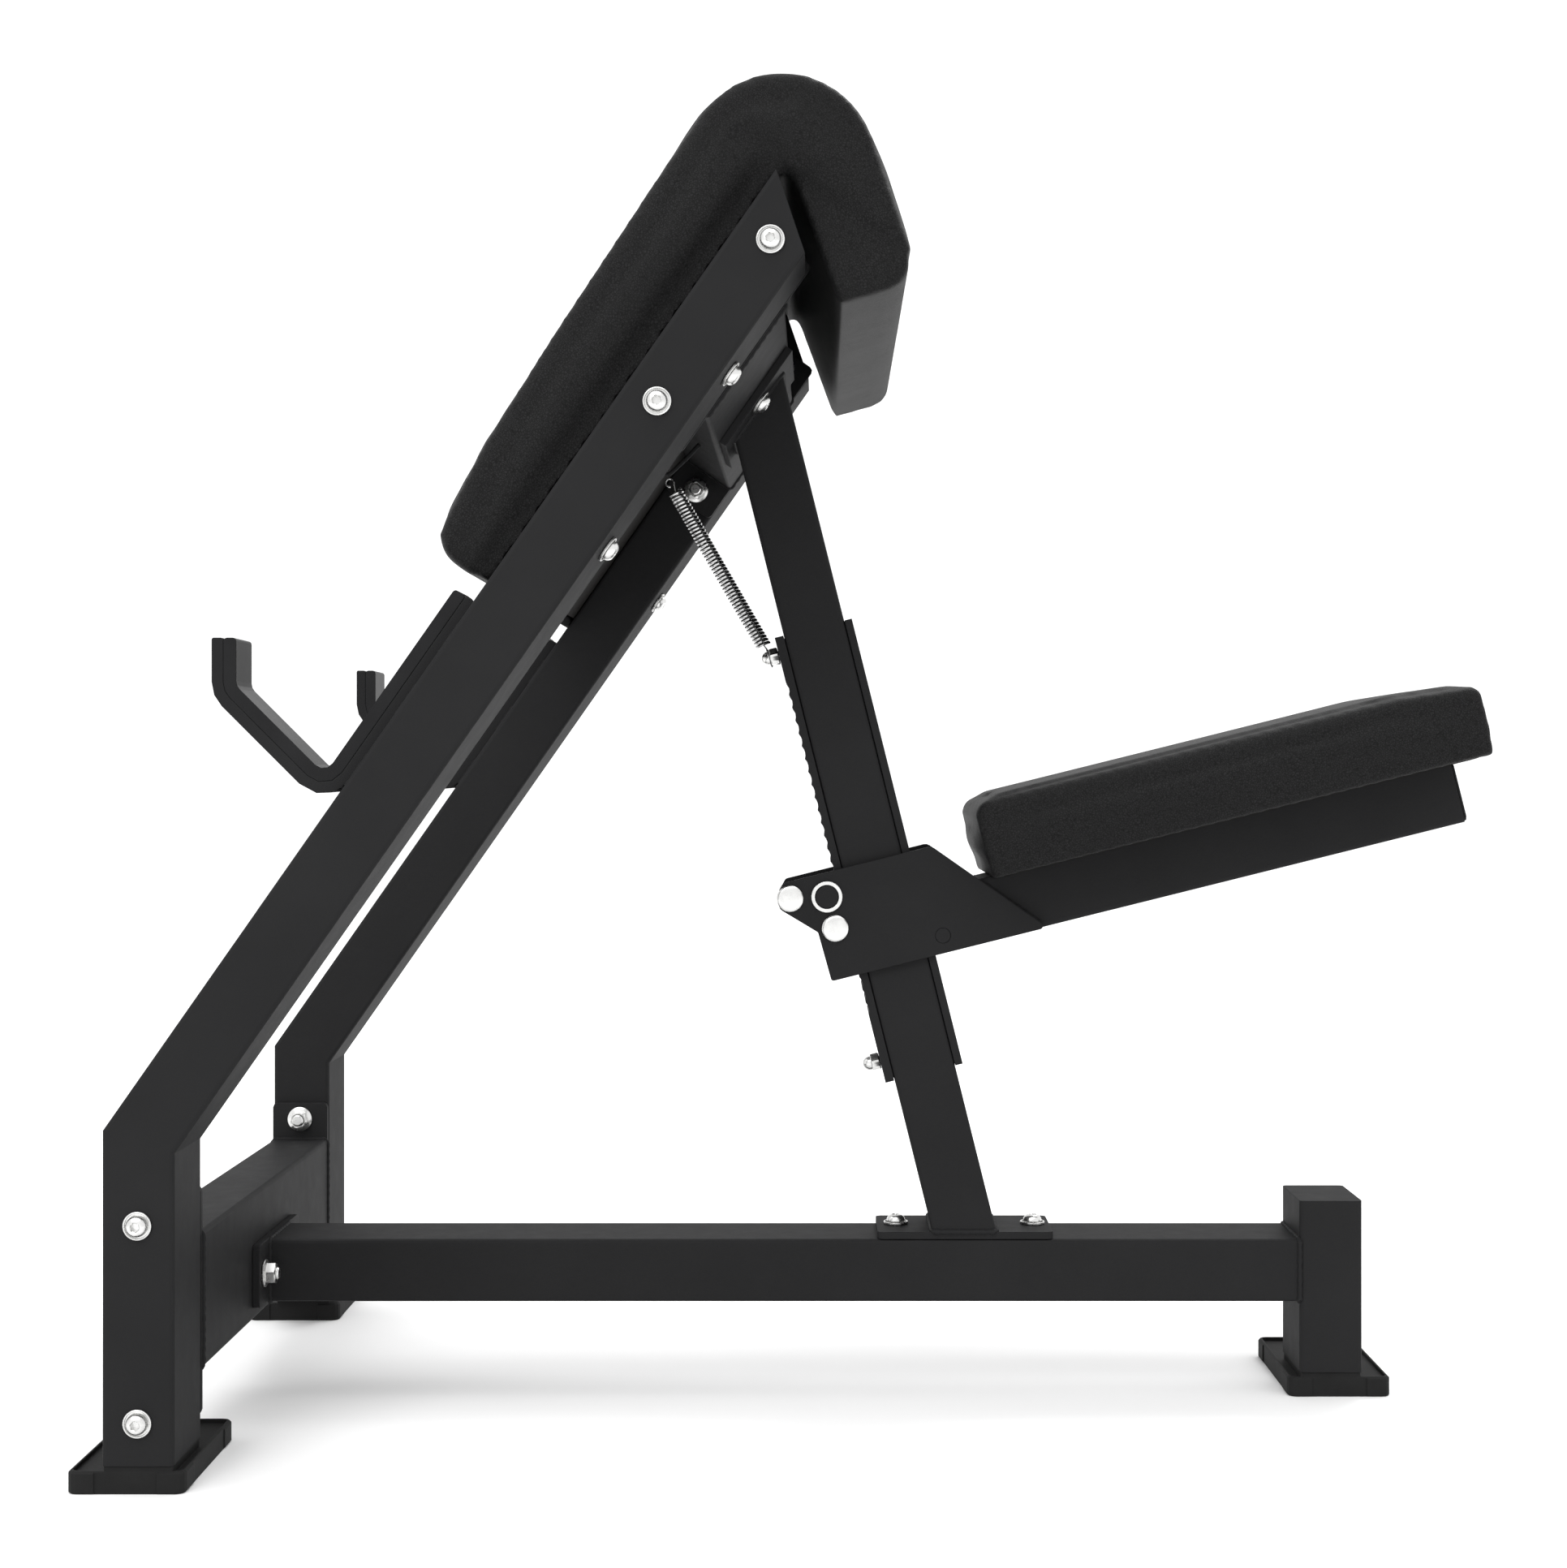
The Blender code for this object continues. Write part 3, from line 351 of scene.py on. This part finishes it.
def turned(profile, origin, axis, sides=36, ring=False, flats=()):
    """Body turned about an axis; rows named in flats are cut to a hexagon."""
    axis = Vector(axis).normalized()
    across = axis.orthogonal().normalized()
    other = axis.cross(across)
    points = []
    rows = []
    for row, (radius, height) in enumerate(profile):
        if radius == 0:
            rows.append([len(points)])
            points.append(origin + axis * height * MM)
            continue
        rows.append(list(range(len(points), len(points) + sides)))
        for k in range(sides):
            angle = math.tau * k / sides
            reach = radius
            if row in flats:
                reach = radius / math.cos(math.remainder(angle - math.pi / 6, math.pi / 3))
            points.append(origin + (across * math.cos(angle) + other * math.sin(angle))
                          * reach * MM + axis * height * MM)
    pairs = list(zip(rows, rows[1:]))
    if ring:
        pairs.append((rows[-1], rows[0]))
    faces = []
    for low, high in pairs:
        for k in range(sides):
            nxt = (k + 1) % sides
            face = [low[k % len(low)], low[nxt % len(low)],
                    high[nxt % len(high)], high[k % len(high)]]
            faces.append(list(dict.fromkeys(face)))
    return points, faces


def pipe(path, radius, sides=10, closed=False, ripple=0.0):
    """Round tube along points in the row frame; ripple gives weld beads."""
    count = len(path)
    rows = []
    side = None
    for k in range(count):
        before = path[k - 1] if (k or closed) else path[0]
        after = path[(k + 1) % count] if (closed or k < count - 1) else path[-1]
        run = (after - before).normalized()
        if side is None:
            side = run.orthogonal().normalized()
        side = (side - run * side.dot(run)).normalized()
        other = run.cross(side)
        size = radius * (1 + ripple * math.sin(k * 1.9) + ripple * noise.noise(path[k] * 900))
        rows.append([path[k] + (side * math.cos(math.tau * j / sides)
                                + other * math.sin(math.tau * j / sides)) * size
                     for j in range(sides)])
    points = [p for row in rows for p in row]
    faces = []
    last = count if closed else count - 1
    for k in range(last):
        for j in range(sides):
            nxt = (j + 1) % sides
            after = (k + 1) % count
            faces.append([k * sides + j, k * sides + nxt, after * sides + nxt,
                          after * sides + j])
    if not closed:
        faces.append(list(range(sides)))
        faces.append([len(points) - sides + j for j in range(sides)])
    return points, faces


def joined(shells):
    """Several shells as one list of points and faces."""
    points = []
    faces = []
    for more, some in shells:
        faces += [[k + len(points) for k in face] for face in some]
        points += list(more)
    return points, faces


def walk(corners, step, closed=False):
    """Points at about a step in millimetres along straight runs."""
    ends = list(zip(corners, corners[1:]))
    if closed:
        ends.append((corners[-1], corners[0]))
    points = []
    for a, b in ends:
        parts = max(1, round((b - a).length / MM / step))
        points += [a.lerp(b, k / parts) for k in range(parts)]
    if not closed:
        points.append(corners[-1])
    return points


# ---------------------------------------------------------------- fasteners

def tip_of(node, axis):
    """Vertex of a CAD node that lies furthest against an axis."""
    axis = Vector(axis)
    mesh = frame["nodes"][node].data
    low = min(v.co.dot(axis) for v in mesh.vertices)
    near = [v.co.copy() for v in mesh.vertices if v.co.dot(axis) < low + 0.00002]
    return sum(near, Vector()) / len(near)


def length_of(node, axis):
    """Length of a CAD node along an axis, in millimetres."""
    axis = Vector(axis)
    reach = [v.co.dot(axis) for v in frame["nodes"][node].data.vertices]
    return (max(reach) - min(reach)) / MM


def dome_bolt(node, axis):
    """Socket-head dome bolt on its washer, drawn from the CAD bolt's tip."""
    axis = Vector(axis).normalized()
    origin = tip_of(node, axis)
    end = length_of(node, axis)
    socket = [(0, 3.9), (2.9, 3.9), (2.9, 0.5)]
    dome = [(3.5, 0.06), (4.5, 0.25), (5.5, 0.8), (6.4, 1.7), (7.1, 2.8), (7.5, 4.0), (7.6, 5.0)]
    groove = [(7.2, 5.6), (7.2, 7.3), (8.85, 7.3), (8.9, 5.6)]
    washer = [(9.6, 5.5), (9.95, 5.8), (9.98, 6.3), (9.98, 7.2), (9.7, 7.48), (5.0, 7.5)]
    shank = [(5.0, end - 1.2), (4.1, end), (0, end)]
    profile = socket + dome + groove + washer + shank
    points, faces = turned(profile, origin, axis, flats=(1, 2))
    piece = piece_of("fine_" + node, points, faces, ZINC, "zinc_plate", "frame")
    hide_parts(node)


def flange_nut(node, axis):
    """Hexagon nut with a round flange, chamfered and bored."""
    axis = Vector(axis).normalized()
    origin = tip_of(node, axis)
    profile = [(5.25, 0.0), (10.6, 0.0), (10.95, 0.3), (10.95, 1.3), (10.3, 1.7), (8.9, 2.3),
               (7.5, 2.5), (7.5, 9.1), (7.1, 9.68), (5.9, 9.68), (5.25, 9.1)]
    points, faces = turned(profile, origin, axis, ring=True, flats=(6, 7))
    piece = piece_of("fine_" + node, points, faces, ZINC, "zinc_plate", "frame")
    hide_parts(node)


def acorn_bolt(node):
    """Acorn nut over the rack on its countersunk stud."""
    axis = Vector((S[0], 0, S[1]))
    origin = tip_of(node, axis)
    end = length_of(node, axis)
    dome = 5.8
    profile = [(0, 0)]
    for angle in range(15, 91, 15):
        profile.append((dome * math.sin(math.radians(angle)),
                        dome - dome * math.cos(math.radians(angle))))
    profile += [(5.9, 6.9), (6.2, 7.1), (6.5, 7.5), (6.5, 13.4), (6.2, 14.2), (4.0, 14.3)]
    profile += [(4.0, end - 5.0), (8.2, end - 0.3), (8.2, end), (0, end)]
    points, faces = turned(profile, origin, axis, flats=(9, 10))
    piece = piece_of("fine_" + node, points, faces, ZINC, "zinc_plate", "frame")
    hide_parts(node)


def cross_pin(node):
    """Pin through both carriage plates, with lightly crowned heads."""
    origin = tip_of(node, (0, 1, 0))
    end = length_of(node, (0, 1, 0))
    head = PIN_HEAD
    thick = PIN_HEAD_TALL
    half = [(0, 0), (head * 0.55, 0.05), (head - 2.0, 0.3), (head - 0.7, 0.75), (head, 1.5),
            (head, thick - 0.2), (head - 0.3, thick), (6.0, thick)]
    profile = half + [(radius, end - height) for radius, height in reversed(half)]
    points, faces = turned(profile, origin, (0, 1, 0), 48)
    piece = piece_of("fine_" + node, points, faces, ZINC, "zinc_plate", "seat_carriage")
    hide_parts(node)


def lock_rings():
    """Bright snap rings that keep the lock bar in the carriage plates."""
    x, z = on_mast(*LOCK)
    for tag, side in (("near", -1), ("far", 1)):
        profile = [(9.25, 0), (12.3, 0), (12.6, 0.3), (12.6, 1.9), (12.2, 2.4), (9.7, 2.4),
                   (9.25, 2.0)]
        points, faces = turned(profile, at(x, side * RING_FACE, z), (0, side, 0), 56,
                               ring=True)
        piece_of("lock_ring_" + tag, points, faces, ZINC, "zinc_plate", "seat_carriage")


def fasteners():
    """All turned hardware."""
    incline = (N[0], 0, N[1])
    for tag, side in (("near", -1), ("far", 1)):
        for k in range(1, 5):
            dome_bolt(f"frame_bolt_{tag}_{k}", (0, -side, 0))
            flange_nut(f"frame_nut_{tag}_{k}", (0, -side, 0))
        dome_bolt(f"beam_bolt_{tag}", (1, 0, 0))
        flange_nut(f"beam_nut_{tag}", (1, 0, 0))
        dome_bolt(f"top_bolt_{tag}", incline)
        for k in (1, 2):
            dome_bolt(f"pad_bolt_{tag}_{k}", incline)
    for k in (1, 2):
        dome_bolt(f"base_bolt_{k}", (0, 0, -1))
    acorn_bolt("rack_bolt_upper")
    acorn_bolt("rack_bolt_lower")
    cross_pin("pin_upper")
    cross_pin("pin_lower")
    lock_rings()


# ---------------------------------------------------------------- spring

def coil_spring():
    """Extension spring: close coils between a hook on the rod and a loop on the stud."""
    start = Vector(SPRING_TOP)
    end = Vector(SPRING_END)
    run = (end - start).normalized()
    side = Vector((-run.y, run.x))
    total = (end - start).length
    mean = SPRING_RADIUS - COIL_WIRE
    first = 12.4
    last = total - 11.0
    turns = round((last - first) / COIL_PITCH)
    around = 14
    steps = turns * around
    coil = []
    for k in range(steps + 1):
        angle = math.tau * k / around
        spot = start + run * (first + (last - first) * k / steps)
        spot += side * mean * math.cos(angle)
        coil.append(at(spot.x, mean * math.sin(angle), spot.y))
    top = []
    for k in range(11):
        angle = math.radians(-160 + 300 * k / 10)
        spot = start + run * (4.2 - HOOK_RADIUS * math.cos(angle))
        spot += side * HOOK_RADIUS * math.sin(angle)
        top.append(at(spot.x, 0.0, spot.y))
    spot = start + run * (first + 1.0)
    top.append(at(spot.x, 0.0, spot.y))
    spot = start + run * (last - 1.0)
    low = [at(spot.x, 0.0, spot.y)]
    stud = Vector(on_mast(*UPPER_STUD))
    for k in range(15):
        angle = math.radians(50 + 290 * k / 14)
        spot = stud + Vector(M) * STUD_LOOP * math.cos(angle) - Vector(S) * (6.0 + 0.1 * k)
        low.append(at(spot.x, STUD_LOOP * math.sin(angle), spot.y))
    shape = joined([pipe(coil, COIL_WIRE * MM, 6), pipe(top, HOOK_WIRE * MM, 6),
                    pipe(low, HOOK_WIRE * MM, 6)])
    piece = piece_of("coil_spring", *shape, CHROME, "spring_chrome", "frame")
    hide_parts("spring")
    ends = []
    for along, up in ((-50.8, -5.0), (-66.0, -3.0), (-82.5, 0.4), (-85.5, 1.6), (-86.6, 4.2),
                      (-84.9, 6.4), (-82.4, 6.0), (-81.6, 3.6)):
        ends.append(at(UPPER_BEAM[0] + along * T[0] + up * N[0], 0,
                       UPPER_BEAM[1] + along * T[1] + up * N[1]))
    rod = piece_of("spring_rod", *pipe(ends, ROD_RADIUS * MM, 12), COAT, "frame_paint", "frame")
    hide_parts("spring_anchor")


# ---------------------------------------------------------------- upholstery

def swollen(node, name, voxel, body, grow, held):
    """Cushion swollen from its CAD solid by a capped cloth run that never pulls it in."""
    source = frame["nodes"][node]
    piece = bpy.data.objects.new(name, source.data.copy())
    bpy.context.collection.objects.link(piece)
    remesh = piece.modifiers.new("remesh", "REMESH")
    remesh.mode = "VOXEL"
    remesh.voxel_size = voxel * MM
    bake(piece)
    rest = [v.co.copy() for v in piece.data.vertices]
    outward = [v.normal.copy() for v in piece.data.vertices]
    group = piece.vertex_groups.new(name="held")
    for k, point in enumerate(rest):
        group.add([k], held(point), "REPLACE")
    cloth = piece.modifiers.new("cloth", "CLOTH")
    cloth.settings.use_pressure = True
    cloth.settings.uniform_pressure_force = 4.0
    cloth.settings.effector_weights.gravity = 0.0
    cloth.settings.vertex_group_mass = "held"
    cloth.settings.quality = 5
    cloth.settings.tension_stiffness = 30.0
    cloth.settings.compression_stiffness = 30.0
    cloth.settings.bending_stiffness = 4.0
    cloth.collision_settings.use_collision = False
    cloth.point_cache.frame_start = 1
    cloth.point_cache.frame_end = 20
    scene = bpy.context.scene
    for number in range(1, 21):
        scene.frame_set(number)
    bake(piece)
    scene.frame_set(1)
    for vertex, home, normal in zip(piece.data.vertices, rest, outward):
        shift = vertex.co - home
        shift -= normal * min(0.0, shift.dot(normal))
        limit = SWELL_CAP * MM * (1.0 - held(home))
        if shift.length > limit:
            shift = shift.normalized() * limit
        vertex.co = home + shift
    for vertex, home, normal in zip(piece.data.vertices, rest, outward):
        vertex.co += normal * (grow * MM * (1.0 - held(home)))
    smooth = piece.modifiers.new("smooth", "CORRECTIVE_SMOOTH")
    smooth.iterations = 2
    smooth.smooth_type = "SIMPLE"
    smooth.factor = 0.3
    smooth.use_only_smooth = True
    bake(piece)
    piece.data.materials.clear()
    piece.data.materials.append(VINYL)
    for polygon in piece.data.polygons:
        polygon.use_smooth = True
        polygon.material_index = 0
    fine = piece.modifiers.new("fine", "SUBSURF")
    fine.levels = 1
    fine.render_levels = 1
    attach(piece, body)
    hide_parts(node)
    return piece


def bake(piece):
    """Turn what the modifiers show into the mesh itself."""
    graph = bpy.context.evaluated_depsgraph_get()
    mesh = bpy.data.meshes.new_from_object(piece.evaluated_get(graph))
    piece.modifiers.clear()
    piece.data = mesh


def arm_held(point):
    """1 where the arm pad lies on its board and the frame, 0 where it is free."""
    x = point.x / MM + CENTRE_X - BEND[0]
    z = point.z / MM - BEND[1]
    along = x * T[0] + z * T[1]
    up = x * N[0] + z * N[1]
    if along > 826:
        return 0.0
    return max(0.0, min(1.0, (20.0 - up) / 8.0))


def seat_held(point):
    """1 where the seat pad lies on its board, 0 where it is free."""
    x = point.x / MM + CENTRE_X
    z = point.z / MM
    m = x * M[0] + z * M[1]
    return max(0.0, min(1.0, (392.0 - m) / 8.0))


def upholstery():
    """Both pads."""
    swollen("arm_pad", "arm_cushion", 4.6, "frame", 3.0, arm_held)
    swollen("seat_pad", "seat_cushion", 3.2, "seat_carriage", 1.2, seat_held)


# ---------------------------------------------------------------- welds and trim

def loop(outline, place, y, radius, name, body):
    """Weld bead round a rectangular outline in the side plane."""
    corners = []
    for a, b in outline:
        x, z = place(a, b)
        corners.append(at(x, y, z))
    shape = pipe(walk(corners, 2.2, True), radius * MM, 8, True, 0.16)
    piece_of(name, *shape, COAT, "frame_paint", body)


def run_bead(corners, radius, name, body, closed=False):
    """Weld bead along points in the row frame."""
    shape = pipe(walk(corners, 2.2, closed), radius * MM, 8, closed, 0.16)
    piece_of(name, *shape, COAT, "frame_paint", body)


def rectangle(a0, a1, b0, b1, cut=2.5):
    """Rectangle with its corners cut, so that a bead turns them."""
    return [(a0 + cut, b0), (a1 - cut, b0), (a1, b0 + cut), (a1, b1 - cut), (a1 - cut, b1),
            (a0 + cut, b1), (a0, b1 - cut), (a0, b0 + cut)]


def welds():
    """Beads where plates and tubes meet."""
    for tag, side in (("near", -1), ("far", 1)):
        y = side * 221.7
        loop(rectangle(-498.6, -448.6, 68, 168), lambda a, b: (a, b), y, 2.0,
             "weld_lower_" + tag, "frame")
        loop(rectangle(-50, 50, -25, 25),
             lambda a, b: (UPPER_BEAM[0] + a * T[0] + b * N[0],
                           UPPER_BEAM[1] + a * T[1] + b * N[1]), y, 2.0,
             "weld_upper_" + tag, "frame")
        ends = [on_mast(223.5, 371.5), on_mast(262.5, 327.0)]
        run_bead([at(x, side * 38.2, z) for x, z in ends], 1.9, "weld_plate_" + tag,
                 "seat_carriage")
        for k, edge in enumerate((-23, 23)):
            for j, low in enumerate((292, 352, 404)):
                ends = [on_incline(low, 0.6), on_incline(low + 26, 0.6)]
                y_edge = side * FRAME_MID + edge
                run_bead([at(x, y_edge, z) for x, z in ends], 1.7,
                         f"weld_hook_{tag}_{k}{j}", "frame")
    for name, x in (("weld_beam_front", -442.4), ("weld_beam_back", 384.35)):
        ring = [at(x, a, b) for a, b in rectangle(-37.5, 37.5, 76.3, 126.3)]
        run_bead(ring, 2.0, name, "frame", True)
    ring = []
    for s, y in rectangle(118.9, 168.9, -37.5, 37.5):
        m = (132.5 - s * S[1]) / M[1]
        x, z = on_mast(s, m)
        ring.append(at(x, y, z))
    run_bead(ring, 2.1, "weld_mast_foot", "frame", True)
    ring = []
    for s, y in rectangle(118.9, 168.9, -37.5, 37.5):
        x, z = on_mast(s, 0)
        reach = (UPPER_BEAM[0] - x) * N[0] + (UPPER_BEAM[1] - z) * N[1] - 31.2
        x, z = on_mast(s, reach / (M[0] * N[0] + M[1] * N[1]))
        ring.append(at(x, y, z))
    run_bead(ring, 2.0, "weld_mast_head", "frame", True)


def block(centre_ring, name, finish, slot, body, bevel):
    """Extruded outline from two rings of points, with its edges rounded."""
    first, second = centre_ring
    count = len(first)
    points = list(first) + list(second)
    faces = [list(range(count)), list(range(count, 2 * count))]
    for k in range(count):
        nxt = (k + 1) % count
        faces.append([k, nxt, count + nxt, count + k])
    piece = piece_of(name, points, faces, finish, slot, body)
    soften = piece.modifiers.new("soften", "BEVEL")
    soften.width = bevel * MM
    soften.segments = 2
    soften.limit_method = "ANGLE"
    return piece


def paint_lines():
    """Paint that bridges the joints between the mast and its two strips."""
    for name, low, high in (("rack_joint", 118.5, 119.0), ("strip_joint", 168.8, 169.3)):
        rings = []
        for m in STRIP_SPAN:
            ring = []
            for s, y in ((low, -JOINT_HALF), (high, -JOINT_HALF),
                         (high, JOINT_HALF), (low, JOINT_HALF)):
                x, z = on_mast(s, m)
                ring.append(at(x, y, z))
            rings.append(ring)
        block(rings, name, COAT, "frame_paint", "frame", 0.02)


def plugs():
    """Plastic plugs in the seat tube and in the tips of both side frames."""
    s1 = 613.5
    rings = []
    for s in (s1 + 0.05, s1 + 2.4):
        ring = []
        for y, m in rectangle(-36.6, 36.6, 323.4, 371.6, 3.0):
            x, z = on_mast(s, m)
            ring.append(at(x, y, z))
        rings.append(ring)
    block(rings, "seat_tube_cap", PLASTIC, "black_plastic", "seat_carriage", 0.9)
    for tag, side in (("near", -1), ("far", 1)):
        rings = []
        for back in (6.0, 0.6):
            ring = []
            for a, b in rectangle(-46.4, -3.6, -33.9, 33.9, 3.0):
                x, z = on_incline(815.0 + 0.7278 * a - back, a)
                ring.append(at(x, side * FRAME_MID + b, z))
            rings.append(ring)
        block(rings, "tip_plug_" + tag, PLASTIC, "black_plastic", "frame", 0.8)


def stage():
    """Floor, lights and camera."""
    scene = bpy.context.scene
    scene.view_settings.view_transform = "Standard"
    size = 7.0
    mesh = bpy.data.meshes.new("floor")
    mesh.from_pydata([(-size, -size, 0), (size, -size, 0), (size, size, 0), (-size, size, 0)],
                     [], [(0, 1, 2, 3)])
    floor = bpy.data.objects.new("floor", mesh)
    bpy.context.collection.objects.link(floor)
    material, tree, shader = shader_of("pale_floor")
    tone = ramp(tree, speckle(tree, 3.0, 3.0), 0.3, 0.7, (0.86, 0.86, 0.86),
                (0.88, 0.88, 0.88))
    tree.links.new(tone, shader.inputs["Base Color"])
    shader.inputs["Roughness"].default_value = 0.8
    mesh.materials.append(material)

    world = bpy.data.worlds.new("studio")
    world.use_nodes = True
    world.node_tree.nodes["Background"].inputs["Color"].default_value = (1, 1, 1, 1)
    world.node_tree.nodes["Background"].inputs["Strength"].default_value = 1.2
    scene.world = world
    sun = bpy.data.lights.new("overhead", "SUN")
    sun.energy = 1.6
    sun.angle = math.radians(70)
    overhead = bpy.data.objects.new("overhead", sun)
    overhead.rotation_euler = (math.radians(14), math.radians(-8), 0)
    bpy.context.collection.objects.link(overhead)
    for name, spot, aim, width, power in (
            ("key", (-1.5, -3.2, 2.6), (0, 0, 0.5), 1.2, 26.0),
            ("rim", (1.0, 1.4, 2.6), (0, 0, 0.6), 1.0, 20.0)):
        light = bpy.data.lights.new(name, "AREA")
        light.shape = "SQUARE"
        light.size = width
        light.energy = power
        lamp = bpy.data.objects.new(name, light)
        lamp.location = spot
        lamp.rotation_euler = (Vector(aim) - Vector(spot)).to_track_quat("-Z", "Y").to_euler()
        bpy.context.collection.objects.link(lamp)

    lens = bpy.data.cameras.new("camera")
    lens.lens = 55.58
    lens.sensor_width = 36.0
    lens.shift_x = -0.0238
    lens.shift_y = -0.0049
    lens.clip_end = 50.0
    camera = bpy.data.objects.new("camera", lens)
    camera.location = at(0.0, -1979.7, 498.0)
    camera.rotation_euler = (math.pi / 2, 0, 0)
    bpy.context.collection.objects.link(camera)
    scene.camera = camera


paint_cad()
stage()
fasteners()
coil_spring()
upholstery()
welds()
plugs()
paint_lines()
bpy.context.view_layer.update()
